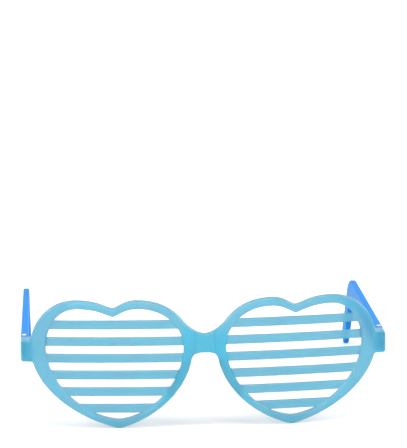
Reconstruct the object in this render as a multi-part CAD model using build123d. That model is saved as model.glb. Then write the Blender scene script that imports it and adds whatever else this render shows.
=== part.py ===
from build123d import *
import os
from math import cos, radians, sin, sqrt, tan

# Slatted heart-shaped novelty glasses: a one-piece moulded front with six slats in each heart,
# two hooked temples, and a steel pin in each hinge.
# Millimetres, +Z up. The front faces -Y, the temples run to +Y and the wearer's left is +X.
# The glasses stand open on the heart tips and the hook tips. The origin is on that surface,
# in the middle of the length and the width.

# Heart outline, seen from ahead: X from the mid-plane, Z from the surface it stands on
heart_tip_x = 36.6
heart_inner_x = 5.0
heart_outer_x = 73.3
heart_side_z = 35.0
heart_crown_z = 54.9
cleft_x = 38.5
cleft_depth = 3.5
inner_crown_reach = 10.2
outer_crown_reach = 15.1
tip_slope = 14.0
cleft_slope = 20.0
tip_radius = 6.0
cleft_radius = 3.5

# How far each curve of a heart follows its end directions, as shares of its own width or height
crown_pull_share = 0.70
shoulder_pull_share = 0.38
hip_pull_share = 0.46
tip_pull_share = 0.56
cleft_crown_pull_share = 0.50
cleft_notch_pull_share = 0.30

# Rim around each lens opening, and the bevels on its front edges. Its rear edges are square, as
# they come off the mould's parting face.
rim_top_width = 3.5
rim_inner_width = 3.9
rim_outer_width = 6.5
rim_tip_width = 3.9
rim_cleft_width = 3.4
rim_thickness = 3.0
rim_bevel_depth = 0.8
rim_bevel_width = 1.2
opening_bevel = 0.4
opening_tip_slope = 5.0
opening_tip_radius = 8.0
opening_cleft_radius = 1.5
opening_hip_pull_share = 0.48
opening_tip_pull_share = 0.52

# Slats across each opening, the top one first
slat_count = 6
slat_height = 3.75
slat_pitch = 7.2
top_slat_z = 46.4
slat_thickness = 1.6
slat_recess = 0.8
slat_root = 1.2

# Bridge, with its raised pad, and the nose fins behind the rims
bridge_bottom_z = 32.5
bridge_top_z = 40.3
bridge_top_radius = 6.0
bridge_bottom_radius = 3.4
pad_width = 8.2
pad_height = 0.8
pad_edge_radius = 0.5
fin_length = 4.5
fin_thickness_share = 0.42
fin_bottom_z = 13.5
fin_top_z = 27.5
fin_end_radius = 3.0

# Wrap of the front around the face, and the end pieces that carry the hinges
wrap_radius = 400.0
end_piece_reach = 4.0
end_piece_height = 9.0
end_piece_wall = 4.8
end_piece_depth = 9.5
end_piece_root = 3.0
end_piece_recess = 0.5
end_piece_corner_radius = 1.2
end_piece_edge_radius = 0.8
hinge_z = 33.0

# Hinges: a tongue on the front between two ears of the temple
tongue_height = 3.2
pin_radius = 0.7
pin_running_clearance = 0.05
pin_head_radius = 1.0
pin_head_height = 0.4
pin_bevel = 0.15
hinge_face_clearance = 0.15
hinge_swing_clearance = 0.3

# Temples
temple_thickness = 3.2
temple_tip_thickness = 2.5
temple_height = 9.0
shank_length = 101.0
shank_end_height = 8.6
hook_width = 9.4
hook_angle = 48.0
hook_outer_radius = 24.0
hook_inner_radius = 15.0
temple_edge_radius = 0.6
temple_inner_bevel = 0.4

overrun = 5.0

# Places that follow from the sizes above
inner_crown_x = cleft_x - inner_crown_reach
outer_crown_x = cleft_x + outer_crown_reach
half_width = heart_outer_x + end_piece_reach
knuckle_radius = temple_thickness / 2
hinge_x = half_width - knuckle_radius
hinge_setback = knuckle_radius + hinge_swing_clearance
hook_tip_radius = hook_width / 2
hook_length = (hinge_z - hook_tip_radius) / sin(radians(hook_angle))
hook_reach = shank_length + hook_length * cos(radians(hook_angle)) + hook_tip_radius


def wrap_sag(x, depth=0):
    """How far a wrapped surface lies behind its own middle at a distance from the mid-plane."""
    radius = wrap_radius - depth
    return radius - sqrt(radius**2 - x**2)


axis_behind_front = wrap_sag(half_width) + end_piece_depth + hinge_setback
front_y = (pad_height - axis_behind_front - hook_reach) / 2
hinge_y = front_y + axis_behind_front
end_piece_rear_y = hinge_y - hinge_setback
sharp_tip_z = tip_radius - tip_radius / cos(radians(tip_slope))
opening_side_width = {-1: rim_inner_width, 1: rim_outer_width}


def box_between(low, high):
    """A box from its lowest corner to its highest corner."""
    size = [b - a for a, b in zip(low, high)]
    return Pos(*low) * Box(*size, align=(Align.MIN, Align.MIN, Align.MIN))


def between(outline_value, opening_value, inset_share):
    """A value on the way from the outline's to the lens opening's."""
    return outline_value + (opening_value - outline_value) * inset_share


def heart_half(side, inset_share):
    """The three curves of one half of the right-hand heart, from the tip to the cleft.

    side is -1 for the half beside the nose and 1 for the outer half. inset_share is 0 on the
    outline, 1 on the lens opening and between them inside the rim."""
    side_x = {-1: heart_inner_x, 1: heart_outer_x}[side] - side * opening_side_width[side] * inset_share
    crown_x = {-1: inner_crown_x, 1: outer_crown_x}[side]
    crown_z = heart_crown_z - rim_top_width * inset_share
    tip_z = sharp_tip_z + rim_tip_width * inset_share
    notch_z = heart_crown_z - cleft_depth - rim_cleft_width * inset_share
    tip_pull = abs(side_x - heart_tip_x) * between(tip_pull_share, opening_tip_pull_share, inset_share)
    hip_pull = (heart_side_z - tip_z) * between(hip_pull_share, opening_hip_pull_share, inset_share)
    tip_rise = tip_pull * tan(radians(between(tip_slope, opening_tip_slope, inset_share)))
    shoulder_pull = (crown_z - heart_side_z) * shoulder_pull_share
    crown_pull = (side_x - crown_x) * crown_pull_share
    notch_run = crown_x - cleft_x
    notch_pull = notch_run * cleft_notch_pull_share
    lower = Bezier(
        (heart_tip_x, tip_z),
        (heart_tip_x + side * tip_pull, tip_z + tip_rise),
        (side_x, heart_side_z - hip_pull),
        (side_x, heart_side_z),
    )
    upper = Bezier(
        (side_x, heart_side_z),
        (side_x, heart_side_z + shoulder_pull),
        (crown_x + crown_pull, crown_z),
        (crown_x, crown_z),
    )
    notch = Bezier(
        (crown_x, crown_z),
        (crown_x - notch_run * cleft_crown_pull_share, crown_z),
        (cleft_x + notch_pull, notch_z + abs(notch_pull) * tan(radians(cleft_slope))),
        (cleft_x, notch_z),
    )
    return [lower, upper, notch]


def heart_face(inset_share=0, tip_round=tip_radius, cleft_round=cleft_radius):
    """The face of the right-hand heart, with its tip and its cleft rounded."""
    face = make_face(heart_half(1, inset_share) + heart_half(-1, inset_share))
    tip = face.vertices().sort_by(Axis.Y)[0]
    face = fillet(tip, tip_round)
    cleft = face.vertices().sort_by_distance((cleft_x, heart_side_z))[0]
    return fillet(cleft, cleft_round)


def both_sides(shape):
    """A sketch or solid together with its mirror image across the mid-plane."""
    return shape + mirror(shape, about=Plane.YZ)


def front_outline():
    """The outline of the whole front: two hearts joined by the bridge."""
    web_height = bridge_top_z - bridge_bottom_z
    web = Pos(0, bridge_bottom_z) * Rectangle(2 * inner_crown_x, web_height, align=(Align.CENTER, Align.MIN))
    outline = both_sides(heart_face()) + web
    for corner_z, radius in ((bridge_top_z, bridge_top_radius), (bridge_bottom_z, bridge_bottom_radius)):
        corners = outline.vertices().sort_by_distance((0, corner_z))[:2]
        outline = fillet(corners, radius)
    return outline


def prism(sketch, near_y, far_y):
    """A sketch drawn from ahead, carried from one depth to another."""
    return extrude(Plane.XZ.offset(-far_y) * sketch, far_y - near_y)


def wrap_band(near_depth, far_depth):
    """The wrapped slab between two depths behind the front surface."""
    reach = half_width + overrun
    near, far = [
        ThreePointArc(
            (-reach, front_y + depth + wrap_sag(reach, depth)),
            (0, front_y + depth),
            (reach, front_y + depth + wrap_sag(reach, depth)),
        )
        for depth in (near_depth, far_depth)
    ]
    plan = make_face([near, far, Line(near @ 0, far @ 0), Line(near @ 1, far @ 1)])
    return extrude(Pos(0, 0, -overrun) * plan, heart_crown_z + 2 * overrun)


def wrapped(sketch, near_depth, far_depth):
    """A sketch drawn from ahead, made solid between two depths of the wrapped front."""
    deepest = front_y + far_depth + wrap_sag(half_width + overrun, far_depth)
    return prism(sketch, front_y + near_depth - overrun, deepest) & wrap_band(near_depth, far_depth)


def slat_bands():
    """The slats' heights across the whole front, as one sketch of level bars."""
    bars = Sketch()
    for row in range(slat_count):
        middle_z = top_slat_z - slat_height / 2 - row * slat_pitch
        bars += Pos(0, middle_z) * Rectangle(2 * half_width, slat_height)
    return bars


def wrapped_front_face(body):
    """The front face of a wrapped body."""
    faces = body.faces().filter_by(GeomType.CYLINDER).sort_by(lambda f: -f.area)[:2]
    return faces.sort_by(lambda f: f.center().Y)[0]


def rims(outline):
    """The rims and the bridge: the outline less the two lens openings, bevelled in front."""
    body = wrapped(outline, 0, rim_thickness)
    opening = heart_face(1, opening_tip_radius, opening_cleft_radius)
    body -= prism(both_sides(opening), front_y - overrun, hinge_y)
    face = wrapped_front_face(body)
    body = chamfer(face.outer_wire().edges(), rim_bevel_width, rim_bevel_depth, reference=face)
    inner = [e for w in wrapped_front_face(body).inner_wires() for e in w.edges()]
    return chamfer(inner, opening_bevel)


def slats():
    """Six thinner slats in each lens opening, let into the middle of the rims."""
    root_share = 1 - slat_root / rim_top_width
    bars = both_sides(heart_face(root_share, opening_tip_radius, opening_cleft_radius)) & slat_bands()
    return wrapped(bars, slat_recess, slat_recess + slat_thickness)


def bridge_pad(outline):
    """The raised pad on the middle of the bridge, flat in front, with rounded upright edges."""
    above = Pos(0, bridge_bottom_z) * Rectangle(pad_width, heart_crown_z, align=(Align.CENTER, Align.MIN))
    strip = outline & above
    pad = prism(strip, front_y - pad_height, front_y + rim_thickness / 2)
    return fillet(pad.faces().sort_by(Axis.Y)[0].edges(), pad_edge_radius)


def nose_fins():
    """A fin behind each rim beside the nose, along the heart's edge, its rear corners rounded."""
    fin_height = fin_top_z - fin_bottom_z
    beside_nose = Pos(0, fin_bottom_z) * Rectangle(heart_tip_x, fin_height, align=(Align.MIN, Align.MIN))
    strip = (heart_face() & beside_nose) - heart_face(fin_thickness_share)
    near_y = front_y + rim_thickness / 2
    rear_y = front_y + rim_thickness + fin_length
    side = Pos(near_y, fin_bottom_z) * Rectangle(rear_y - near_y, fin_height, align=(Align.MIN, Align.MIN))
    side = fillet(side.vertices().group_by(Axis.X)[-1], fin_end_radius)
    return both_sides(prism(strip, near_y, rear_y) & extrude(Plane.YZ * side, heart_tip_x))


def end_piece():
    """The left end piece: a plate beside the rim that returns to the rear, rounded all over."""
    root_x = heart_outer_x - end_piece_root
    pocket_y = front_y + wrap_sag(root_x) + rim_thickness
    wall_x = half_width - end_piece_wall
    plan = Pos(root_x, front_y) * Rectangle(
        half_width - root_x, end_piece_rear_y - front_y, align=(Align.MIN, Align.MIN)
    )
    plan &= Pos(0, front_y + wrap_radius) * Circle(wrap_radius - end_piece_recess)
    plan -= Pos(wall_x, pocket_y) * Rectangle(
        wall_x - root_x + overrun, end_piece_rear_y - pocket_y + overrun, align=(Align.MAX, Align.MIN)
    )
    inner_corner = plan.vertices().sort_by_distance((wall_x, pocket_y))[0]
    plan = fillet(inner_corner, end_piece_corner_radius)
    outer_corner = plan.vertices().sort_by_distance((half_width, front_y))[0]
    plan = fillet(outer_corner, end_piece_corner_radius)
    body = extrude(Pos(0, 0, hinge_z - end_piece_height / 2) * plan, end_piece_height)
    level = body.faces().filter_by(Axis.Z)
    return fillet([e for f in level for e in f.edges()], end_piece_edge_radius)


def tongue():
    """The left hinge tongue on the rear of the end piece, bored for its pin."""
    root_y = end_piece_rear_y - end_piece_corner_radius
    plan = Pos(hinge_x, root_y) * Rectangle(
        2 * knuckle_radius, hinge_y - root_y, align=(Align.CENTER, Align.MIN)
    )
    plan += Pos(hinge_x, hinge_y) * Circle(knuckle_radius)
    plan -= Pos(hinge_x, hinge_y) * Circle(pin_radius + pin_running_clearance)
    return extrude(Pos(0, 0, hinge_z - tongue_height / 2) * plan, tongue_height)


def front_frame():
    """The whole front moulding."""
    outline = front_outline()
    body = rims(outline) + bridge_pad(outline) + nose_fins() + both_sides(end_piece() + tongue())
    return body + slats()


def temple_outline():
    """The left temple seen from its side: Y along it, Z up."""
    angle = radians(hook_angle)
    start_y = end_piece_rear_y + hinge_face_clearance
    bend = Vector(hinge_y + shank_length, hinge_z)
    along = Vector(cos(angle), -sin(angle))
    across = Vector(sin(angle), cos(angle)) * (hook_width / 2)
    tip = bend + along * hook_length

    def bend_corner(side):
        """Where the hook's edge meets the shank's: side is 1 above and -1 below."""
        run = side * (hook_width * cos(angle) - shank_end_height) / 2 / sin(angle)
        return bend + across * side + along * run

    upper, lower = bend_corner(1), bend_corner(-1)
    half_height = Vector(0, temple_height / 2)
    start = Vector(start_y, hinge_z)
    points = [start + half_height, upper, tip + across, tip - across, lower, start - half_height]
    outline = make_face(Polyline(*points, close=True)) + Pos(*tip) * Circle(hook_tip_radius)
    for corner, radius in ((upper, hook_outer_radius), (lower, hook_inner_radius)):
        outline = fillet(outline.vertices().sort_by_distance(corner)[0], radius)
    return outline


def temple_plan():
    """The left temple seen from above: a knuckle about the hinge, square on its outer side where it
    meets the end piece, and an inner face that draws in towards the tip."""
    start_y = end_piece_rear_y + hinge_face_clearance
    tip_y = hinge_y + hook_reach
    shank = make_face(
        Polyline(
            (half_width, hinge_y),
            (half_width, tip_y),
            (half_width - temple_tip_thickness, tip_y),
            (half_width - temple_thickness, hinge_y),
            close=True,
        )
    )
    stop_length = hinge_y - start_y
    stop = Pos(half_width, start_y) * Rectangle(knuckle_radius, stop_length, align=(Align.MAX, Align.MIN))
    return shank + stop + Pos(hinge_x, hinge_y) * Circle(knuckle_radius)


def left_temple():
    """The left temple: a flat shank with a hook, forked at the front for the tongue."""
    side = Pos(hinge_x - temple_thickness, 0, 0) * extrude(Plane.YZ * temple_outline(), 2 * temple_thickness)
    top_z = hinge_z + temple_height + overrun
    body = side & extrude(Pos(0, 0, -overrun) * temple_plan(), top_z)
    outer = body.faces().sort_by(Axis.X)[-1]
    body = fillet(outer.edges(), temple_edge_radius)
    inner = body.faces().filter_by(GeomType.PLANE).sort_by(lambda f: -f.area)[:2].sort_by(Axis.X)[0]
    body = chamfer([e for e in inner.edges() if e.center().Y > hinge_y + overrun], temple_inner_bevel)
    slot_half = tongue_height / 2 + hinge_face_clearance
    slot_rear_y = hinge_y + knuckle_radius + hinge_swing_clearance
    body -= box_between(
        (hinge_x - temple_thickness, end_piece_rear_y - overrun, hinge_z - slot_half),
        (hinge_x + temple_thickness, slot_rear_y, hinge_z + slot_half),
    )
    return body - Pos(hinge_x, hinge_y, hinge_z) * Cylinder(pin_radius, 2 * temple_height)


def left_hinge_pin():
    """The left hinge pin, with a flat head on top, both ends bevelled."""
    half_profile = make_face(
        Polyline(
            (0, -temple_height / 2),
            (pin_radius - pin_bevel, -temple_height / 2),
            (pin_radius, pin_bevel - temple_height / 2),
            (pin_radius, temple_height / 2),
            (pin_head_radius, temple_height / 2),
            (pin_head_radius, temple_height / 2 + pin_head_height - pin_bevel),
            (pin_head_radius - pin_bevel, temple_height / 2 + pin_head_height),
            (0, temple_height / 2 + pin_head_height),
            close=True,
        )
    )
    return Pos(hinge_x, hinge_y, hinge_z) * revolve(Plane.XZ * half_profile, Axis.Z)


def main():
    """Makes every piece and writes one file for each."""
    temple = left_temple()
    pin = left_hinge_pin()
    pieces = {
        "front_frame": front_frame(),
        "left_temple": temple,
        "right_temple": mirror(temple, about=Plane.YZ),
        "left_hinge_pin": pin,
        "right_hinge_pin": mirror(pin, about=Plane.YZ),
    }
    os.makedirs("parts", exist_ok=True)
    for name, piece in pieces.items():
        piece.label = name
        export_step(piece, f"parts/{name}.step")


main()
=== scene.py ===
"""Heart-shaped slatted novelty glasses: moulded skins, finishes, light and camera.

Lengths are in millimetres until a mesh is made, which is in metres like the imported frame. +Z is
up, the front faces -Y, the temples run to +Y and the wearer's left is +X.

The front is one moulding, with slats, bridge, fins and end pieces that run into each other
through small fillets. Its skin, like each temple's, is therefore the zero level of one distance
worked out on a grid of samples, where rounded unions make the fillets and rounded intersections
the edges.
"""

import logging
from dataclasses import dataclass, field
from enum import Enum, IntEnum
from math import cos, hypot, pi, radians, sin, tan
from typing import Any, Sequence

import bpy
import numpy as np
from mathutils import Matrix, Vector

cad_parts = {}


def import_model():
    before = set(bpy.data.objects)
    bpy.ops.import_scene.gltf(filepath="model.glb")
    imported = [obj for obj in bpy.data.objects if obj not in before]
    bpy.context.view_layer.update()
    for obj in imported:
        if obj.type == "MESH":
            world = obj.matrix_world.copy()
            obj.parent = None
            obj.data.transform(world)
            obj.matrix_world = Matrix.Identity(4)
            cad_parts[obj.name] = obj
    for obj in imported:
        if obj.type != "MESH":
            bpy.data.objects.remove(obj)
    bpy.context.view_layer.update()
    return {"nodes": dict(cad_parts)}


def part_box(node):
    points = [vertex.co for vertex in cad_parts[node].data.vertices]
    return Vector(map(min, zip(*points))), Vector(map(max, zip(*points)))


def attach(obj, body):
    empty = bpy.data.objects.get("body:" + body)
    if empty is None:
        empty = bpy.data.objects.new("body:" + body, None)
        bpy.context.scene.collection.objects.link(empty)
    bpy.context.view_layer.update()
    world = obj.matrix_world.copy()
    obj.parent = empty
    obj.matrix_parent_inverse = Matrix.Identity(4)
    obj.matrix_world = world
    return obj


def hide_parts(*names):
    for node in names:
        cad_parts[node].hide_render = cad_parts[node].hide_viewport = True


MM = 0.001
DEPTH = "plastic_depth"
# Painted shade: the rims' colour darkens towards a darker colour where their skin turns away from
# the front.
EDGE_SHADE = "painted_edge_shade"
FULL = 1.0
NOISE_LAYERS = 2.0
CELL_CORNERS = np.array([(i, j, k) for i in (0, 1) for j in (0, 1) for k in (0, 1)])
ONE_STEP = np.eye(3, dtype=int)

Array = np.ndarray
Point = tuple[float, float]
Color = tuple[float, float, float]
SocketKey = str | int

WHITE: Color = (1.0, 1.0, 1.0)
BLACK: Color = (0.0, 0.0, 0.0)

log = logging.getLogger("glasses")


class Side(Enum):
    """The wearer's side of a paired piece: the sign of its X."""

    LEFT = 1
    RIGHT = -1


class Grain(Enum):
    """How a surface's fine pattern runs: its place is drawn out by these factors."""

    EVEN = (1.0, 1.0, 1.0)
    ALONG_SLATS = (0.06, 1.0, 1.0)
    ALONG_TEMPLE = (1.0, 0.05, 1.0)
    ALONG_PIN = (1.0, 1.0, 0.04)


class Use(Enum):
    """What a graph of nodes colours, with the kind of its output."""

    SURFACE = "ShaderNodeOutputMaterial"
    SKY = "ShaderNodeOutputWorld"


class MixPlace(IntEnum):
    """Where a Mix node has the sockets of a mix of colours."""

    SHARE = 0
    LOW = 6
    HIGH = 7
    RESULT = 2


class Half(Enum):
    """Which half of a heart: the sign of its X from the heart's middle."""

    BY_NOSE = -1
    OUTER = 1


def round_max(first: Array, second: Array, radius: float) -> Array:
    """The distance to what two shapes share, its edge rounded.

    In words: where both distances lie within the radius of their surfaces, the distance is that
    to a circle of the radius that touches both; elsewhere it is the larger of the two.

    Args:
        first: Distances to one shape, negative inside.
        second: Distances to the other.
        radius: The edge's radius.

    Returns:
        The rounded intersection's distances.
    """
    corner = np.hypot(np.maximum(first + radius, 0), np.maximum(second + radius, 0))
    return np.minimum(np.maximum(first, second), -radius) + corner


def round_min(first: Array, second: Array, radius: float) -> Array:
    """The distance to two shapes joined, with a fillet of the radius where they meet.

    In words: it is the rounded intersection of what lies outside the two, turned inside out.

    Args:
        first: Distances to one shape, negative inside.
        second: Distances to the other.
        radius: The fillet's radius.

    Returns:
        The joined shape's distances.
    """
    return -round_max(-first, -second, radius)


def bezier(points: Sequence[Point], count: int) -> Array:
    """Points on a cubic curve: each control point weighed by its share at t from 0 to under 1.

    In words: t runs as 3s^2 - 2s^3 while s goes up in even steps, so that the points lie closer
    together near the ends, where the corners are.

    Args:
        points: The four control points.
        count: How many points to give.

    Returns:
        An array of count rows, without the curve's last point.
    """
    even = np.linspace(0, 1, count, endpoint=False)[:, None]
    share = even**2 * (3 - 2 * even)
    rest = 1 - share
    a, b, c, d = np.array(points)
    return rest**3 * a + 3 * rest**2 * share * b + 3 * rest * share**2 * c + share**3 * d


def turned_corner(outline: Array, corner: Point, slope: float, radius: float) -> Array:
    """An outline with a corner that points down turned on an arc.

    In words: where the arc that touches both sides of the corner lies above the outline, the
    outline is raised to it. The arc's centre is the radius over the slope's cosine above the
    corner, and it reaches the radius times the slope's sine to either side.

    Args:
        outline: The outline's points, one row each.
        corner: The corner, where both sides rise at the slope.
        slope: The sides' slope, in degrees.
        radius: The arc's radius.

    Returns:
        The outline with its points near the corner moved.
    """
    across, up = outline.T
    off = across - corner[0]
    near = (np.abs(off) < radius * sin(radians(slope))) & (np.abs(up - corner[1]) < radius)
    arc = corner[1] + radius / cos(radians(slope)) - np.sqrt(np.maximum(radius**2 - off**2, 0))
    return np.stack([across, np.where(near, np.maximum(up, arc), up)], axis=1)


def outline_distance(outline: Array, across: Array, up: Array) -> Array:
    """The signed distance from each sample to a closed outline, negative inside it.

    In words: the least distance to any edge, with the sign from whether a level ray from the
    sample crosses the outline an odd number of times.

    Args:
        outline: The corners in order, one row each.
        across: The samples' first coordinate, as a column.
        up: Their second, as a row.

    Returns:
        One distance for each pair of coordinates.
    """
    nearest = np.full(np.broadcast_shapes(across.shape, up.shape), np.inf)
    inside = np.zeros(nearest.shape, bool)
    for start, end in zip(outline, np.roll(outline, -1, axis=0)):
        run, rise = end - start
        along = ((across - start[0]) * run + (up - start[1]) * rise) / (run**2 + rise**2)
        along = np.clip(along, 0, 1)
        away = np.hypot(across - start[0] - along * run, up - start[1] - along * rise)
        nearest = np.minimum(nearest, away)
        if rise:
            spans = (start[1] > up) != (end[1] > up)
            inside ^= spans & (across < start[0] + (up - start[1]) * run / rise)
    return np.where(inside, -nearest, nearest)


def rounded_outline(corners: Sequence[Point], radii: Sequence[float], steps: int) -> Array:
    """A closed outline of straight sides with each corner turned on an arc that touches both.

    In words: an arc's centre lies on the corner's bisector, the radius over the sine of half the
    corner's angle away, and its points go evenly through the turn from one side to the other.

    Args:
        corners: The corners in order.
        radii: Each corner's radius.
        steps: How many steps an arc takes.

    Returns:
        The outline's points in order.
    """
    points = np.array(corners)
    before, after = np.roll(points, 1, axis=0), np.roll(points, -1, axis=0)
    share = np.linspace(0, 1, steps + 1)[:, None]
    arcs = []
    for here, back, ahead, radius in zip(points, before, after, radii):
        to_back = (back - here) / hypot(*(back - here))
        to_ahead = (ahead - here) / hypot(*(ahead - here))
        half_turn = np.arccos(np.clip(to_back @ to_ahead, -1, 1)) / 2
        middle = to_back + to_ahead
        centre = here + middle / hypot(*middle) * radius / sin(half_turn)
        first = here + to_back * radius / tan(half_turn) - centre
        last = here + to_ahead * radius / tan(half_turn) - centre
        turn = pi - 2 * half_turn
        spokes = np.sin((1 - share) * turn) * first + np.sin(share * turn) * last
        arcs.append(centre + spokes / sin(turn))
    return np.concatenate(arcs)


def cell_points(distance: Array) -> tuple[Array, Array]:
    """The cells of a grid that the zero level crosses, with where it lies in each.

    In words: a cell is crossed when its eight corners lie neither all inside nor all outside.
    Its point is the mean of the places where the distance changes sign on its twelve edges,
    along each of which it is taken to change evenly.

    Args:
        distance: The distances at the samples.

    Returns:
        The cells' places in the grid and their points, in steps of the grid, one row each.
    """
    inside = distance < 0
    wide, deep, high = np.array(inside.shape) - 1
    corners = [inside[i : i + wide, j : j + deep, k : k + high] for i, j, k in CELL_CORNERS]
    cells = np.argwhere(np.logical_or.reduce(corners) & ~np.logical_and.reduce(corners))
    total = np.zeros(cells.shape)
    count = np.zeros((len(cells), 1))
    for start in CELL_CORNERS:
        for step in ONE_STEP[start == 0]:
            here = distance[tuple((cells + start).T)]
            there = distance[tuple((cells + start + step).T)]
            changes = (here < 0) != (there < 0)
            share = np.where(changes, here / np.where(changes, here - there, 1), 0)[:, None]
            total += np.where(changes[:, None], cells + start + share * step, 0)
            count += changes[:, None]
    return cells, total / count


def faces_across(axis: int, inside: Array, number: Array) -> Array:
    """The faces across the grid's edges in one direction.

    In words: an edge whose ends lie on opposite sides gets one face, through the points of the
    four cells round it, turned so that it faces out.

    Args:
        axis: The direction's number.
        inside: Whether each sample lies inside.
        number: The number of each cell's point.

    Returns:
        The faces' point numbers, four to a row.
    """
    step, left, right = (ONE_STEP[(axis + turn) % 3] for turn in range(3))
    low = tuple(slice(None, size - s) for size, s in zip(inside.shape, step))
    high = tuple(slice(s, None) for s in step)
    edges = np.argwhere(inside[low] != inside[high])
    cells_round = [edges - back for back in (left + right, right, 0 * left, left)]
    quads = np.stack([number[tuple(cells.T)] for cells in cells_round], axis=1)
    return np.where(inside[tuple(edges.T)][:, None], quads, quads[:, ::-1])


@dataclass(frozen=True)
class Samples:
    """The places at which a shape's distance is worked out: a regular grid in three directions."""

    lowest: tuple[float, float, float]
    highest: tuple[float, float, float]
    steps: tuple[float, float, float]

    def axes(self) -> list[Array]:
        """The samples along each direction.

        In words: from the lowest place, one step more each time, up to the highest.

        Returns:
            Three arrays, shaped so that they spread over the grid together.
        """
        shapes = ((-1, 1, 1), (1, -1, 1), (1, 1, -1))
        return [
            (low + step * np.arange(round((high - low) / step) + 1)).reshape(shape)
            for low, high, step, shape in zip(self.lowest, self.highest, self.steps, shapes)
        ]

    def zero_level(self, distance: Array) -> tuple[Array, Array]:
        """The surface on which the distance is zero.

        In words: each cell that the surface crosses gets one point, and each grid edge that it
        crosses gets one four-sided face through the points of the cells round the edge.

        Args:
            distance: The distances at the samples.

        Returns:
            The points, one row each, and the faces' point numbers, four to a row.
        """
        cells, points = cell_points(distance)
        number = np.full(np.array(distance.shape) - 1, -1)
        number[tuple(cells.T)] = np.arange(len(cells))
        faces = [faces_across(axis, distance < 0, number) for axis in range(distance.ndim)]
        return np.array(self.lowest) + points * np.array(self.steps), np.concatenate(faces)


def make_mesh(name: str, points: Array, faces: Array) -> bpy.types.Object:
    """A smooth-shaded piece at the origin, its place in its mesh.

    Args:
        name: The piece's name.
        points: Its points in millimetres.
        faces: The point numbers of its four-sided faces.

    Returns:
        The new object.
    """
    mesh = bpy.data.meshes.new(name)
    mesh.vertices.add(len(points))
    mesh.vertices.foreach_set("co", (points * MM).astype(np.float32).ravel())
    mesh.loops.add(faces.size)
    mesh.loops.foreach_set("vertex_index", faces.astype(np.int32).ravel())
    mesh.polygons.add(len(faces))
    starts = np.arange(0, faces.size, faces.shape[1], dtype=np.int32)
    mesh.polygons.foreach_set("loop_start", starts)
    mesh.update(calc_edges=True)
    mesh.validate()
    mesh.shade_smooth()
    piece = bpy.data.objects.new(name, mesh)
    bpy.context.scene.collection.objects.link(piece)
    return piece


def seat(piece: bpy.types.Object, body: str, node: str) -> None:
    """Seats a finished piece in the frame.

    Args:
        piece: The piece.
        body: The body that it rides on.
        node: The solid that it stands for.
    """
    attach(piece, body)
    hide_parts(node)


def report(piece: bpy.types.Object) -> None:
    """Says that a piece is done, and how many faces it has."""
    log.info("%s: %d faces", piece.name, len(piece.data.polygons))


class Shade:
    """One output of a graph's nodes, on which Python's operators make Math nodes."""

    def __init__(self, graph: "Graph", socket: bpy.types.NodeSocket) -> None:
        """Keeps the socket with the graph that it belongs to."""
        self.graph = graph
        self.socket = socket

    def _maths(self, operation: str, other: "Shade | float") -> "Shade":
        """A Math node on this value and another."""
        return self.graph.node("ShaderNodeMath", {"operation": operation}, {0: self, 1: other})

    def __add__(self, other: "Shade | float") -> "Shade":
        """The sum."""
        return self._maths("ADD", other)

    def __mul__(self, other: "Shade | float") -> "Shade":
        """The product."""
        return self._maths("MULTIPLY", other)

    def __or__(self, other: "Shade | float") -> "Shade":
        """The larger of the two, which for masks is where either holds."""
        return self._maths("MAXIMUM", other)

    __radd__ = __add__
    __rmul__ = __mul__
    __ror__ = __or__

    def about(self, middle: float, spread: float) -> "Shade":
        """This value, which goes from 0 to 1, laid over a spread about a middle."""
        return self * spread + (middle - spread / 2)


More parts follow.
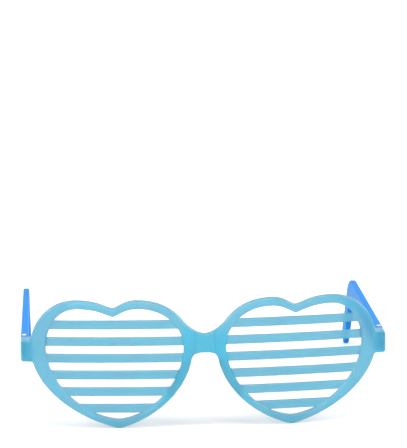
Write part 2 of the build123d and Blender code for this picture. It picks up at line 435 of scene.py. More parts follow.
class Graph:
    """The nodes of one material or sky."""

    def __init__(self, owner: bpy.types.Material | bpy.types.World, use: Use) -> None:
        """Starts the owner's nodes afresh, with an output alone.

        Args:
            owner: The new material or sky.
            use: Which of the two it is.
        """
        owner.use_nodes = True
        self.owner = owner
        self.nodes = owner.node_tree.nodes
        self.links = owner.node_tree.links
        self.nodes.clear()
        self.output = self.nodes.new(use.value)

    def node(
        self,
        kind: str,
        settings: dict[str, Any],
        inputs: dict[SocketKey, Any],
        output: SocketKey = 0,
    ) -> Shade:
        """A new node.

        Args:
            kind: The node's type.
            settings: Its own settings, which are set first.
            inputs: A value or a Shade for each input, by name or place.
            output: Which of its outputs to give.

        Returns:
            That output.
        """
        made = self.nodes.new(kind)
        for name, value in settings.items():
            setattr(made, name, value)
        for place, value in inputs.items():
            if isinstance(value, Shade):
                self.links.new(value.socket, made.inputs[place])
            else:
                made.inputs[place].default_value = value
        return Shade(self, made.outputs[output])

    def seen(self) -> Shade:
        """Whether a ray is one by which the camera sees: straight, mirrored or through a piece.

        Returns:
            1 for such a ray and 0 for any other.
        """
        camera, glossy, clear = (
            self.node("ShaderNodeLightPath", {}, {}, f"Is {kind} Ray")
            for kind in ("Camera", "Glossy", "Transmission")
        )
        return camera | glossy | clear

    def kept(self, name: str) -> Shade:
        """A value that the piece's mesh keeps at each point."""
        return self.node("ShaderNodeAttribute", {"attribute_name": name}, {}, "Fac")

    def spot(self, factors: tuple[float, float, float]) -> Shade:
        """The surface's own place, times a factor in each direction."""
        own = self.node("ShaderNodeTexCoord", {}, {}, "Object")
        return self.node("ShaderNodeMapping", {}, {"Vector": own, "Scale": factors})

    def noise(self, grain: Grain, size: float) -> Shade:
        """Cloudy variation over the surface's own place.

        Args:
            grain: How it runs.
            size: About how large its lumps are, in millimetres.

        Returns:
            A value from 0 to 1.
        """
        spot, scale = self.spot(grain.value), 1 / (size * MM)
        inputs = {"Vector": spot, "Scale": scale, "Detail": NOISE_LAYERS}
        return self.node("ShaderNodeTexNoise", {}, inputs)

    def blend(self, share: Shade, low: Shade | Color, high: Shade | Color) -> Shade:
        """A colour that goes from one to another as the share goes from 0 to 1.

        Args:
            share: The share.
            low: The colour at 0.
            high: The colour at 1.

        Returns:
            The colour.
        """
        low, high = (end if isinstance(end, Shade) else (*end, FULL) for end in (low, high))
        inputs = {MixPlace.SHARE: share, MixPlace.LOW: low, MixPlace.HIGH: high}
        return self.node("ShaderNodeMix", {"data_type": "RGBA"}, inputs, MixPlace.RESULT)

    def relief(self, height: Shade) -> Shade:
        """The normal of a surface whose relief is a height in millimetres."""
        return self.node("ShaderNodeBump", {}, {"Height": height, "Distance": MM, "Strength": FULL})

    def finish(self, shader: Shade) -> bpy.types.Material | bpy.types.World:
        """Ends the graph with what shows on the surface or in the sky, and gives its owner."""
        self.links.new(shader.socket, self.output.inputs["Surface"])
        return self.owner


@dataclass(frozen=True)
class Plastic:
    """Moulded plastic: gloss over a faintly uneven skin with flow lines, and light let through."""

    name: str
    thin_color: Color
    thick_color: Color
    # The colour of the painted shade on skin that turns away from the front.
    edge_shade_color: Color
    thin_opacity: float
    thick_opacity: float
    clear_share: float
    glow_share: float
    glow_reach: tuple[float, float, float]
    flow: Grain
    roughness: float
    specular: float
    coat: float
    coat_roughness: float
    cloud_size: float = 11.0
    cloud_share: float = 0.45
    flow_size: float = 0.9
    flow_share: float = 0.25
    flow_depth: float = 0.03
    skin_size: float = 1.3
    skin_depth: float = 0.012
    frost_size: float = 0.22
    frost_depth: float = 0.0025
    roughness_spread: float = 0.12

    def material(self) -> bpy.types.Material:
        """The plastic's material.

        Returns:
            One material, whose colour and opacity follow how much plastic there is.
        """
        graph = Graph(bpy.data.materials.new(self.name), Use.SURFACE)
        depth = graph.kept(DEPTH)
        clouds = graph.noise(Grain.EVEN, self.cloud_size)
        lines = graph.noise(self.flow, self.flow_size)
        skin = graph.noise(Grain.EVEN, self.skin_size)
        frost = graph.noise(Grain.EVEN, self.frost_size)
        body_share = 1 - self.cloud_share - self.flow_share
        tone = depth * body_share + clouds * self.cloud_share + lines * self.flow_share
        relief = skin * self.skin_depth + frost * self.frost_depth + lines * self.flow_depth
        body = graph.blend(tone, self.thin_color, self.thick_color)
        gain = self.thick_opacity - self.thin_opacity
        shader = graph.node(
            "ShaderNodeBsdfPrincipled",
            {"subsurface_method": "RANDOM_WALK"},
            {
                # Painted shade: the colour darkens towards the shade colour as the kept sideways
                # share grows.
                "Base Color": graph.blend(graph.kept(EDGE_SHADE), body, self.edge_shade_color),
                "Roughness": skin.about(self.roughness, self.roughness_spread),
                "Normal": graph.relief(relief),
                "Alpha": depth * gain + self.thin_opacity if gain else self.thin_opacity,
                "Transmission Weight": self.clear_share,
                "Subsurface Weight": self.glow_share,
                "Subsurface Radius": self.glow_reach,
                "Subsurface Scale": MM,
                "Specular IOR Level": self.specular,
                "Coat Weight": self.coat,
                "Coat Roughness": self.coat_roughness,
            },
        )
        return graph.finish(shader)


@dataclass(frozen=True)
class Steel:
    """Drawn steel wire, with fine lines along it."""

    name: str
    color: Color
    bright_color: Color
    roughness: float = 0.32
    roughness_spread: float = 0.16
    line_size: float = 0.12
    line_depth: float = 0.004

    def material(self) -> bpy.types.Material:
        """The steel's material.

        Returns:
            One material, drawn along the pin.
        """
        graph = Graph(bpy.data.materials.new(self.name), Use.SURFACE)
        lines = graph.noise(Grain.ALONG_PIN, self.line_size)
        shader = graph.node(
            "ShaderNodeBsdfPrincipled",
            {},
            {
                "Base Color": graph.blend(lines, self.color, self.bright_color),
                "Roughness": lines.about(self.roughness, self.roughness_spread),
                "Normal": graph.relief(lines * self.line_depth),
                "Metallic": FULL,
            },
        )
        return graph.finish(shader)


JELLY_BLUE = Plastic(
    name="jelly_blue_plastic",
    thin_color=(0.085, 0.38, 0.54),
    thick_color=(0.0, 0.57, 0.83),
    # A darker grey-blue: painted shade where the rims turn away from the front.
    edge_shade_color=(0.04, 0.18, 0.25),
    thin_opacity=0.75,
    thick_opacity=0.88,
    clear_share=0.5,
    glow_share=0.35,
    glow_reach=(0.6, 1.6, 2.0),
    flow=Grain.ALONG_SLATS,
    roughness=0.36,
    specular=0.3,
    coat=0.55,
    coat_roughness=0.14,
)
AZURE = Plastic(
    name="azure_plastic",
    thin_color=(0.0, 0.265, 0.80),
    thick_color=(0.0, 0.225, 0.70),
    edge_shade_color=(0.0, 0.225, 0.70),
    thin_opacity=1.0,
    thick_opacity=1.0,
    clear_share=0.0,
    glow_share=0.15,
    glow_reach=(0.2, 0.8, 1.6),
    flow=Grain.ALONG_TEMPLE,
    roughness=0.45,
    specular=0.07,
    coat=0.04,
    coat_roughness=0.15,
)
PIN_STEEL = Steel(name="pin_wire_steel", color=(0.50, 0.50, 0.51), bright_color=(0.68, 0.68, 0.69))


@dataclass(frozen=True)
class RimEdge:
    """What sets a rim's outer edge and the edge of its lens opening apart."""

    inset: int
    tip_slope: float
    tip_radius: float
    cleft_radius: float
    hip_pull_share: float
    tip_pull_share: float


@dataclass(frozen=True)
class Heart:
    """The heart outline seen from ahead, on the wearer's left, and the shares that shape it."""

    outline: RimEdge = RimEdge(
        inset=0,
        tip_slope=14.0,
        tip_radius=6.0,
        cleft_radius=3.5,
        hip_pull_share=0.46,
        tip_pull_share=0.56,
    )
    opening: RimEdge = RimEdge(
        inset=1,
        tip_slope=5.0,
        tip_radius=8.0,
        cleft_radius=1.5,
        hip_pull_share=0.48,
        tip_pull_share=0.52,
    )
    tip_x: float = 36.6
    inner_x: float = 5.0
    outer_x: float = 73.3
    side_z: float = 35.0
    crown_z: float = 54.9
    cleft_x: float = 38.5
    cleft_depth: float = 3.5
    inner_crown_reach: float = 10.2
    outer_crown_reach: float = 15.1
    cleft_slope: float = 20.0
    rim_top_width: float = 3.5
    rim_inner_width: float = 3.9
    rim_outer_width: float = 6.5
    rim_tip_width: float = 3.9
    rim_cleft_width: float = 3.4
    crown_pull_share: float = 0.70
    shoulder_pull_share: float = 0.38
    cleft_crown_pull_share: float = 0.50
    cleft_notch_pull_share: float = 0.30
    curve_points: int = 90

    def corners(self, edge: RimEdge) -> tuple[Point, Point]:
        """The sharp corners that the tip and the cleft are rounded from.

        In words: the outline's lie where the tip's arc just touches the surface it stands on,
        and the cleft's depth under the crowns. The opening's lie the rim's widths further in.

        Args:
            edge: The outline or the lens opening.

        Returns:
            The tip's corner and the cleft's.
        """
        blunt = self.outline.tip_radius
        sharp_tip_z = blunt - blunt / cos(radians(self.outline.tip_slope))
        tip_z = sharp_tip_z + self.rim_tip_width * edge.inset
        notch_z = self.crown_z - self.cleft_depth - self.rim_cleft_width * edge.inset
        return (self.tip_x, tip_z), (self.cleft_x, notch_z)

    def half(self, which: Half, edge: RimEdge) -> Array:
        """Half the outline from the tip round the side and the crown to the cleft.

        In words: three cubic curves go to the side, the crown and the cleft. Their inner control
        points follow the direction at each end by a share of the curve's width or height.

        Args:
            which: Which half.
            edge: The outline or the lens opening.

        Returns:
            Points on its three curves, in order.
        """
        side, by_nose = which.value, which is Half.BY_NOSE
        width = self.rim_inner_width if by_nose else self.rim_outer_width
        side_x = (self.inner_x if by_nose else self.outer_x) - side * width * edge.inset
        crown_x = self.cleft_x + (-self.inner_crown_reach if by_nose else self.outer_crown_reach)
        crown_z = self.crown_z - self.rim_top_width * edge.inset
        tip, notch = self.corners(edge)
        widest, crown = (side_x, self.side_z), (crown_x, crown_z)
        (tip_x, tip_z), (cleft_x, notch_z) = tip, notch
        tip_pull = abs(side_x - tip_x) * edge.tip_pull_share
        hip_pull = (self.side_z - tip_z) * edge.hip_pull_share
        shoulder_pull = (crown_z - self.side_z) * self.shoulder_pull_share
        crown_pull = (side_x - crown_x) * self.crown_pull_share
        notch_run = crown_x - cleft_x
        notch_pull = notch_run * self.cleft_notch_pull_share
        notch_rise = abs(notch_pull) * tan(radians(self.cleft_slope))
        from_tip = (tip_x + side * tip_pull, tip_z + tip_pull * tan(radians(edge.tip_slope)))
        to_widest = (side_x, self.side_z - hip_pull)
        from_widest = (side_x, self.side_z + shoulder_pull)
        to_crown = (crown_x + crown_pull, crown_z)
        from_crown = (crown_x - notch_run * self.cleft_crown_pull_share, crown_z)
        to_notch = (cleft_x + notch_pull, notch_z + notch_rise)
        curves = (
            (tip, from_tip, to_widest, widest),
            (widest, from_widest, to_crown, crown),
            (crown, from_crown, to_notch, notch),
        )
        return np.concatenate([bezier(curve, self.curve_points) for curve in curves])

    def closed(self, edge: RimEdge) -> Array:
        """The whole outline, its tip and its cleft rounded.

        In words: the outer half from the tip to the cleft, then the half by the nose backwards,
        with both corners turned on arcs.

        Args:
            edge: The outline or the lens opening.

        Returns:
            Its points in order.
        """
        tip, cleft = self.corners(edge)
        outer, by_nose = self.half(Half.OUTER, edge), self.half(Half.BY_NOSE, edge)
        sharp = np.concatenate([outer, [cleft], by_nose[:0:-1]])
        blunt = turned_corner(sharp, tip, edge.tip_slope, edge.tip_radius)
        return turned_corner(blunt, cleft, self.cleft_slope, edge.cleft_radius)


@dataclass(frozen=True)
class Hinge:
    """Where the hinges lie and how their parts fit, as the frame has them."""

    half_width: float
    height: float
    front_y: float
    ear_thickness: float = 3.2
    swing_clearance: float = 0.3
    face_clearance: float = 0.15
    end_piece_depth: float = 9.5
    tongue_height: float = 3.2
    wrap_radius: float = 400.0

    def sag(self, x: float | Array) -> float | Array:
        """How far the wrapped front lies behind its own middle at a distance from the mid-plane."""
        return self.wrap_radius - np.sqrt(self.wrap_radius**2 - x**2)

    @property
    def knuckle(self) -> float:
        """The radius of a hinge knuckle."""
        return self.ear_thickness / 2

    @property
    def x(self) -> float:
        """The axis's distance from the mid-plane."""
        return self.half_width - self.knuckle

    @property
    def rear_y(self) -> float:
        """Where the front's end pieces end."""
        return self.front_y + float(self.sag(self.half_width)) + self.end_piece_depth

    @property
    def y(self) -> float:
        """The axis's place along Y."""
        return self.rear_y + self.knuckle + self.swing_clearance


@dataclass(frozen=True)
class Spots:
    """Where the front's samples lie: from the mid-plane, behind the front, along Y and up.

    The outline and the opening are the distances to them as seen from ahead.
    """

    reach: Array
    depth: Array
    y: Array
    z: Array
    outline: Array
    opening: Array


@dataclass
class FrontMoulding:
    """The one-piece front: rims, slats, bridge and pad, nose fins, end pieces and hinge tongues."""

    hinge: Hinge
    heart: Heart = field(default_factory=Heart)
    thickness: float = 3.0
    edge_radius: float = 1.3
    opening_radius: float = 0.6
    rear_radius: float = 0.35
    slat_count: int = 6
    slat_height: float = 3.75
    slat_pitch: float = 7.2
    slat_top_z: float = 46.4
    slat_thickness: float = 1.6
    slat_recess: float = 0.8
    slat_root: float = 1.2
    slat_radius: float = 0.25
    join_radius: float = 0.2
    end_join_radius: float = 0.4
    bridge_bottom_z: float = 32.5
    bridge_top_z: float = 40.3
    bridge_top_radius: float = 6.0
    bridge_bottom_radius: float = 3.4
    pad_width: float = 8.2
    pad_height: float = 0.8
    pad_radius: float = 0.5
    fin_length: float = 4.5
    fin_thickness: float = 1.64
    fin_bottom_z: float = 13.5
    fin_top_z: float = 27.5
    fin_end_radius: float = 3.0
    fin_edge_radius: float = 0.5
    end_height: float = 9.0
    end_wall: float = 4.8
    end_root: float = 3.0
    end_recess: float = 0.5
    end_corner_radius: float = 1.2
    end_edge_radius: float = 0.8
    tongue_edge_radius: float = 0.15
    rim_depth_share: float = 0.15
    depth_fade: float = 3.0
    fin_fade: float = 7.0
    rim_fade: float = 1.0
    # How dark the painted shade on the rims' edges may grow.
    edge_shade_share: float = 0.55
    margin: float = 0.7
    steps: tuple[float, float, float] = (0.5, 0.35, 0.4)

    def outline(self, reach: Array, z: Array) -> tuple[Array, Array]:
        """Distances seen from ahead.

        In words: the heart is joined, on fillets, with all between the hearts that lies under
        the bridge's top, and again with all that lies over its underside. The front is what both
        have in common.

        Args:
            reach: The samples' distances from the mid-plane.
            z: Their heights.

        Returns:
            The distances to the front's outline and to the lens opening.
        """
        heart, opening = (
            outline_distance(self.heart.closed(edge), reach, z)
            for edge in (self.heart.outline, self.heart.opening)
        )
        web = reach - (self.heart.cleft_x - self.heart.inner_crown_reach)
        top, bottom = z - self.bridge_top_z, self.bridge_bottom_z - z
        below = round_min(heart, np.maximum(top, web), self.bridge_top_radius)
        above = round_min(heart, np.maximum(bottom, web), self.bridge_bottom_radius)
        return np.maximum(below, above), opening

    def slats(self, at: Spots) -> Array:
        """Distances to the slats, which end a little way inside the rims.

        In words: each sample takes the nearest row's middle height, and is as far from that slat
        as the rounded edge of its height and thickness says.

        Args:
            at: The samples.

        Returns:
            The distances.
        """
        half_height, half_thickness = self.slat_height / 2, self.slat_thickness / 2
        top_middle = self.slat_top_z - half_height
        row = np.clip(np.round((top_middle - at.z) / self.slat_pitch), 0, self.slat_count - 1)
        level = np.abs(at.z - top_middle + row * self.slat_pitch) - half_height
        layer = np.abs(at.depth - self.slat_recess - half_thickness) - half_thickness
        return np.maximum(round_max(level, layer, self.slat_radius), at.opening - self.slat_root)

    def fins(self, at: Spots) -> Array:
        """Distances to the nose fins, each a band behind the rim's edge beside the nose.

        In words: what lies less than a fin's thickness inside the outline, from the rim's middle
        to the fin's length behind it and between two heights, with round ends and edges.

        Args:
            at: The samples.

        Returns:
            The distances.
        """
        middle_z = (self.fin_top_z + self.fin_bottom_z) / 2
        ends = np.abs(at.z - middle_z) - (self.fin_top_z - self.fin_bottom_z) / 2
        behind = at.depth - self.thickness - self.fin_length
        band = np.maximum(at.outline, -at.outline - self.fin_thickness)
        fin = round_max(round_max(ends, behind, self.fin_end_radius), band, self.fin_edge_radius)
        limits = np.maximum(at.reach - self.heart.tip_x, self.thickness / 2 - at.depth)
        return np.maximum(fin, limits)

    def end_pieces(self, at: Spots) -> Array:
        """Distances to the end pieces with their hinge tongues.

        In words: seen from above, an end piece lies beyond its root and ahead of the hinge, its
        outer front corner round, less a pocket behind the rim. The tongue is all within a
        knuckle's radius of the line from there to the axis. Each has its own height.

        Args:
            at: The samples.

        Returns:
            The distances.
        """
        hinge = self.hinge
        root_x = self.heart.outer_x - self.end_root
        pocket_y = hinge.front_y + float(hinge.sag(root_x)) + self.thickness
        outside = at.reach - hinge.half_width
        corner = round_max(outside, self.end_recess - at.depth, self.end_corner_radius)
        pocket = np.maximum(outside + self.end_wall, pocket_y - at.y)
        plan = np.maximum(corner, np.maximum(root_x - at.reach, at.y - hinge.rear_y))
        plan = np.maximum(plan, -pocket)
        level = np.abs(at.z - hinge.height)
        plate = round_max(plan, level - self.end_height / 2, self.end_edge_radius)
        past_line = at.y - np.clip(at.y, hinge.rear_y - self.end_corner_radius, hinge.y)
        knuckle = np.hypot(at.reach - hinge.x, past_line) - hinge.knuckle
        tongue = round_max(knuckle, level - hinge.tongue_height / 2, self.tongue_edge_radius)
        return np.minimum(plate, tongue)

    def rims(self, at: Spots) -> Array:
        """Distances to the rims and the bridge, their front edges rounder than their rear ones.

        In words: what lies inside the outline, outside the opening, behind the front and ahead
        of the rear, with each edge rounded by its own radius.

        Args:
            at: The samples.

        Returns:
            The distances.
        """
        rear = at.depth - self.thickness
        edges = (
            (at.outline, -at.depth, self.edge_radius),
            (-at.opening, -at.depth, self.opening_radius),
            (at.outline, rear, self.rear_radius),
            (-at.opening, rear, self.rear_radius),
        )
        return np.maximum.reduce([round_max(*edge) for edge in edges])

    def pad(self, at: Spots) -> Array:
        """Distances to the raised pad on the bridge.

        In words: what lies within half the pad's width of the mid-plane and inside the outline,
        from the pad's height before the front to the rim's middle, with round edges.

        Args:
            at: The samples.

        Returns:
            The distances.
        """
        sides = round_max(at.reach - self.pad_width / 2, at.outline, self.pad_radius)
        face = round_max(sides, -self.pad_height - at.depth, self.pad_radius)
        return np.maximum(face, at.depth - self.thickness / 2)

    def distance(self, x: Array, depth: Array, z: Array) -> Array:
        """Distances to the whole moulding, in the flat that it would have without its wrap.

        In words: the rims are joined with the other parts, one after another, by small fillets.

        Args:
            x: The samples' places along X.
            depth: Their depths behind the front.
            z: Their heights.

        Returns:
            The distances.
        """
        reach = np.abs(x)
        y = self.hinge.front_y + depth + self.hinge.sag(x)
        at = Spots(reach, depth, y, z, *self.outline(reach, z))
        shape = self.rims(at)
        for part in (self.slats(at), self.pad(at), self.fins(at)):
            shape = round_min(shape, part, self.join_radius)
        return round_min(shape, self.end_pieces(at), self.end_join_radius)

    def plastic_depth(self, points: Array) -> Array:
        """How much plastic lies behind each point of the skin.

        In words: little in the slats, more in the rims, and most in the bridge, before the nose
        fins and in the end pieces, where it fades in over a few millimetres.

        Args:
            points: The skin's points before their wrap, one row each.

        Returns:
            A share from 0 to 1 for each point.
        """
        reach, depth, z = np.abs(points[:, 0]), points[:, 1], points[:, 2]
        half_thickness = self.slat_thickness / 2
        in_slats = np.abs(depth - self.slat_recess - half_thickness) <= half_thickness
        rims = np.where(in_slats, 0, self.rim_depth_share)
        ends = np.clip((reach - self.heart.outer_x + self.depth_fade) / self.depth_fade, 0, 1)
        ends *= np.abs(z - self.hinge.height) < self.end_height / 2 + self.depth_fade
        off_height = np.maximum(self.fin_bottom_z - z, z - self.bridge_top_z)
        side = self.heart.half(Half.BY_NOSE, self.heart.outline)[: self.heart.curve_points]
        behind_rim = reach - np.interp(z, side[:, 1], side[:, 0]) - self.heart.rim_inner_width
        by_nose = np.clip(1 - off_height / self.fin_fade, 0, 1)
        by_nose *= np.clip(1 - behind_rim / self.rim_fade, 0, 1)
        return np.maximum(rims, np.maximum(ends, by_nose))

    def samples(self) -> Samples:
        """The samples that the moulding lies in, with a margin all round.

        Returns:
            The grid: X, the depth behind the front, and Z.
        """
        hinge = self.hinge
        # The half step keeps the samples off the end pieces' flat inner faces.
        side = hinge.half_width + self.margin + self.steps[0] / 2
        far = hinge.y + hinge.knuckle - hinge.front_y - float(hinge.sag(hinge.x - hinge.knuckle))
        lowest = (-side, -self.pad_height - self.margin, -self.margin)
        highest = (side, far + self.margin, self.heart.crown_z + self.margin)
        return Samples(lowest, highest, self.steps)

    def keep_shares(self, mesh: bpy.types.Mesh, points: Array) -> None:
        """Keeps in the mesh what its plastic's tone follows, painted shade on the rims' edges among
        it.

        In words: how much plastic lies behind each point, and on the rims how far the skin turns
        away from the front, which is 1 less the size of its normal's Y, as a share of painted
        shade.

        Args:
            mesh: The moulding's mesh.
            points: Its points before their wrap, one row each.
        """
        normals = np.empty(points.size, np.float32)
        mesh.vertex_normals.foreach_get("vector", normals)
        on_rims = np.abs(points[:, 0]) < self.heart.outer_x
        # Painted shade: the more the rims' skin faces sideways, the darker its colour.
        edges = np.where(on_rims, 1 - np.abs(normals[1::3]), 0) * self.edge_shade_share
        for name, shares in ((DEPTH, self.plastic_depth(points)), (EDGE_SHADE, edges)):
            kept = mesh.attributes.new(name, "FLOAT", "POINT")
            kept.data.foreach_set("value", shares.astype(np.float32))

    def build(self) -> bpy.types.Object:
        """Makes, dresses and seats the front.

        In words: the skin is found in the flat, and each of its points then goes back by how far
        the wrapped front lies behind its own middle there.

        Returns:
            The finished piece.
        """
        samples = self.samples()
        points, faces = samples.zero_level(self.distance(*samples.axes()))
        set_back = self.hinge.front_y + self.hinge.sag(points[:, 0])
        piece = make_mesh("front_moulding", points + np.outer(set_back, (0, 1, 0)), faces)
        self.keep_shares(piece.data, points)
        piece.data.materials.append(JELLY_BLUE.material())
        seat(piece, "front", "front_frame")
        return piece


@dataclass
class Temple:
    """A temple: a flat shank with a hook over the ear, forked at its hinge."""

    side: Side
    hinge: Hinge
    material: bpy.types.Material
    tip_thickness: float = 2.5
    height: float = 9.0
    shank_length: float = 101.0
    shank_end_height: float = 8.6
    hook_width: float = 9.4
    hook_angle: float = 48.0
    hook_outer_radius: float = 24.0
    hook_inner_radius: float = 15.0
    blunt_share: float = 0.999
    start_radius: float = 0.5
    edge_radius: float = 0.7
    ear_edge_radius: float = 0.15
    arc_steps: int = 24
    margin: float = 0.7
    steps: tuple[float, float, float] = (0.25, 0.4, 0.3)

    def outline(self) -> Array:
        """The temple seen from its side.

        In words: a level band and one that falls at the hook's angle meet at the bend. Their
        edges cross at corners, each turned on an arc, and the last two arcs make a round tip.

        Returns:
            The points of its outline in order: Y along it, Z up.
        """
        hinge = self.hinge
        turn = radians(self.hook_angle)
        along = np.array((cos(turn), -sin(turn)))
        across = np.array((sin(turn), cos(turn))) * self.hook_width / 2
        bend = np.array((hinge.y + self.shank_length, hinge.height))
        tip_radius = self.hook_width / 2
        end = bend + along * ((hinge.height - tip_radius) / sin(turn) + tip_radius)
        slide = (self.hook_width * cos(turn) - self.shank_end_height) / 2 / sin(turn)
        start = np.array((hinge.rear_y + hinge.face_clearance, hinge.height))
        half_height = np.array((0, self.height / 2))
        # A little under half the width, so that the two arcs at the tip share no point.
        blunt = tip_radius * self.blunt_share
        turns = (
            (start + half_height, self.start_radius),
            (bend + across + along * slide, self.hook_outer_radius),
            (end + across, blunt),
            (end - across, blunt),
            (bend - across - along * slide, self.hook_inner_radius),
            (start - half_height, self.start_radius),
        )
        corners, radii = zip(*turns)
        return rounded_outline(corners, radii, self.arc_steps)

    def distance(self, reach: Array, y: Array, z: Array) -> Array:
        """Distances to the temple: its outline, thinned towards the tip and rounded at the hinge.

        In words: what lies inside the outline, between the outer face and an inner one that
        draws in evenly. Ahead of the axis that is the knuckle's circle and, outside the axis,
        what lies behind the end piece. The slot for the tongue is taken out.

        Args:
            reach: The samples' distances from the mid-plane.
            y: Their places along Y.
            z: Their heights.

        Returns:
            The distances.
        """
        hinge = self.hinge
        outline = outline_distance(self.outline(), y, z)
        tip_y = y.max() - self.margin
        share = np.clip((y - hinge.y) / (tip_y - hinge.y), 0, 1)
        thickness = hinge.ear_thickness + (self.tip_thickness - hinge.ear_thickness) * share
        outer = round_max(outline, reach - hinge.half_width, self.edge_radius)
        inner = round_max(outline, hinge.half_width - thickness - reach, self.edge_radius)
        knuckle = np.hypot(reach - hinge.x, y - hinge.y) - hinge.knuckle
        stop = np.maximum(hinge.x - reach, hinge.rear_y + hinge.face_clearance - y)
        ahead = np.where(y < hinge.y, np.minimum(knuckle, stop), -hinge.knuckle)
        shape = round_max(np.maximum(outer, inner), ahead, self.ear_edge_radius)
        slot_half = hinge.tongue_height / 2 + hinge.face_clearance
        slot_rear = hinge.y + hinge.knuckle + hinge.swing_clearance
        slot = np.maximum(np.abs(z - hinge.height) - slot_half, y - slot_rear)
        return round_max(shape, -slot, self.ear_edge_radius)

    def build(self) -> bpy.types.Object:
        """Makes, dresses and seats the temple.

        Returns:
            The finished piece.
        """
        hinge = self.hinge
        outline = self.outline()
        low_y, low_z = outline.min(axis=0) - self.margin
        high_y, high_z = outline.max(axis=0) + self.margin
        inner_x = hinge.half_width - hinge.ear_thickness - self.margin
        outer_x = hinge.half_width + self.margin
        samples = Samples((inner_x, low_y, low_z), (outer_x, high_y, high_z), self.steps)
        points, faces = samples.zero_level(self.distance(*samples.axes()))
        if self.side is Side.RIGHT:
            points[:, 0] *= -1
            faces = faces[:, ::-1]
        word = self.side.name.lower()
        piece = make_mesh(f"{word}_temple_arm", points, faces)
        piece.data.materials.append(self.material)
        seat(piece, f"{word}_arm", f"{word}_temple")
        return piece


@dataclass
class HingePins:
    """The two steel pins, whose own solids are shown with a wire finish."""

    nodes: dict[str, bpy.types.Object]
    head_height: float = 0.4

    def dress(self) -> list[bpy.types.Object]:
        """Gives both pins their steel.

        Returns:
            The two pins.
        """
        steel = PIN_STEEL.material()
        pins = [self.nodes[f"{side.name.lower()}_hinge_pin"] for side in Side]
        for pin in pins:
            pin.data.materials.clear()
            pin.data.materials.append(steel)
        return pins


@dataclass(frozen=True)
class Lamp:
    """A soft light that looks at the middle of the glasses: metres and watts."""

    name: str
    place: tuple[float, float, float]
    width: float
    height: float
    watts: float

    def hang(self) -> None:
        """Hangs the lamp."""
        light = bpy.data.lights.new(self.name, "AREA")
        light.shape = "RECTANGLE"
        light.size = self.width
        light.size_y = self.height
        light.energy = self.watts
        lamp = bpy.data.objects.new(self.name, light)
        lamp.location = self.place
        lamp.rotation_euler = (-Vector(self.place)).to_track_quat("-Z", "Y").to_euler()
        bpy.context.scene.collection.objects.link(lamp)


LAMPS = (
    Lamp("top_light", place=(-0.10, -0.30, 1.0), width=0.9, height=0.4, watts=4.8),
    Lamp("front_light", place=(-0.15, -1.1, 0.45), width=0.8, height=0.6, watts=3.4),
    Lamp("rear_left_light", place=(-0.85, 0.80, 0.50), width=0.5, height=0.5, watts=2.2),
    Lamp("rear_right_light", place=(0.85, 0.80, 0.50), width=0.5, height=0.5, watts=2.2),
    Lamp("left_light", place=(-0.85, -0.25, 0.6), width=0.25, height=0.6, watts=3.0),
    Lamp("right_light", place=(0.85, -0.25, 0.6), width=0.25, height=0.6, watts=4.0),
)


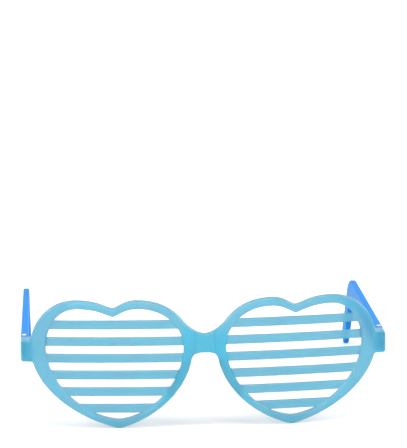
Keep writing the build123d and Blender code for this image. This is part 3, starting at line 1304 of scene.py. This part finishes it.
@dataclass
class Studio:
    """The white floor, the soft lights and the camera where the photograph was taken from.

    The two reaches are in metres and the camera's three turns in degrees. The frame is as many
    pixels wide and high as the photograph, and pixel is what one of them spans at the glasses.
    """

    tips_y: float
    floor_reach: float = 20.0
    floor_color: Color = (0.80, 0.80, 0.80)
    floor_high_color: Color = (0.82, 0.82, 0.82)
    near_glow_color: Color = (0.22, 0.22, 0.22)
    far_glow_color: Color = (0.75, 0.75, 0.75)
    floor_roughness: float = 0.9
    near_reach: float = 0.6
    grain_size: float = 3.0
    sky_strength: float = 0.32
    azimuth: float = 3.25
    elevation: float = 10.7
    roll: float = 0.75
    lens: float = 200.0
    sensor: float = 36.0
    frame_width: int = 407
    frame_height: int = 448
    pixel: float = 0.4225
    pair_x_pixel: float = 205.9
    tips_y_pixel: float = 426.2

    def floor(self) -> None:
        """A wide white floor at the height that the glasses stand on.

        Where it is seen, it glows enough to be white, less so near the glasses, where the lamps
        are near and the shadow lies.
        """
        reach = self.floor_reach / MM
        corners = [(-reach, -reach, 0), (reach, -reach, 0), (reach, reach, 0), (-reach, reach, 0)]
        floor = make_mesh("floor", np.array(corners), np.array([[0, 1, 2, 3]]))
        graph = Graph(bpy.data.materials.new("white_floor"), Use.SURFACE)
        grain = graph.noise(Grain.EVEN, self.grain_size)
        ball, spot = {"gradient_type": "SPHERICAL"}, graph.spot((1 / self.near_reach,) * 3)
        near = graph.node("ShaderNodeTexGradient", ball, {"Vector": spot}, "Fac")
        glow = graph.blend(near, self.far_glow_color, self.near_glow_color)
        shader = graph.node(
            "ShaderNodeBsdfPrincipled",
            {},
            {
                "Base Color": graph.blend(grain, self.floor_color, self.floor_high_color),
                "Roughness": self.floor_roughness,
                "Specular IOR Level": 0.0,
                "Emission Color": graph.blend(graph.seen(), BLACK, glow),
                "Emission Strength": FULL,
            },
        )
        floor.data.materials.append(graph.finish(shader))

    def sky(self) -> None:
        """An even white sky: plain light on the object, and white where it is seen."""
        graph = Graph(bpy.data.worlds.new("studio_sky"), Use.SKY)
        strength = graph.seen() * (1 - self.sky_strength) + self.sky_strength
        inputs = {"Color": (*WHITE, FULL), "Strength": strength}
        bpy.context.scene.world = graph.finish(graph.node("ShaderNodeBackground", {}, inputs))

    def camera(self) -> None:
        """The camera, with the glasses at the photograph's place, size and tilt in its frame."""
        data = bpy.data.cameras.new("camera")
        data.lens = self.lens
        data.sensor_width = self.sensor
        data.clip_end = 2 * self.floor_reach
        camera = bpy.data.objects.new("camera", data)
        turn_round, fall = radians(self.azimuth), radians(self.elevation)
        ahead = Vector((sin(turn_round) * cos(fall), cos(turn_round) * cos(fall), -sin(fall)))
        tilt = Matrix.Rotation(radians(-self.roll), 3, "Z")
        turn = ahead.to_track_quat("-Z", "Y").to_matrix() @ tilt
        right, up, _ = turn.col
        distance = self.frame_height * self.pixel * self.lens / self.sensor * MM
        across = (self.pair_x_pixel - self.frame_width / 2) * self.pixel * MM
        below = (self.tips_y_pixel - self.frame_height / 2) * self.pixel * MM
        tips = Vector((0, self.tips_y * MM, 0))
        camera.location = tips - ahead * distance - right * across + up * below
        camera.rotation_euler = turn.to_euler()
        bpy.context.scene.collection.objects.link(camera)
        bpy.context.scene.camera = camera

    def build(self) -> None:
        """Sets the whole studio up."""
        bpy.context.scene.view_settings.view_transform = "Standard"
        self.floor()
        self.sky()
        for lamp in LAMPS:
            lamp.hang()
        self.camera()


def main() -> None:
    """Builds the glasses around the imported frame, piece by piece."""
    logging.basicConfig(level=logging.INFO, format="%(message)s")
    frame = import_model()
    lowest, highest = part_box("front_frame")
    pin_low, pin_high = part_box("left_hinge_pin")
    # The pin stands its head's height out of the ears, and the pad its own before the front.
    ear_middle = (pin_low.z + pin_high.z) / MM / 2 - HingePins.head_height / 2
    front_y = lowest.y / MM + FrontMoulding.pad_height
    hinge = Hinge(half_width=highest.x / MM, height=ear_middle, front_y=front_y)
    report(FrontMoulding(hinge).build())
    azure = AZURE.material()
    for side in Side:
        report(Temple(side, hinge, azure).build())
    for pin in HingePins(frame["nodes"]).dress():
        report(pin)
    Studio(tips_y=hinge.front_y + float(hinge.sag(Heart.tip_x))).build()
    log.info("studio: %d lamps", len(LAMPS))


if __name__ == "__main__":
    main()
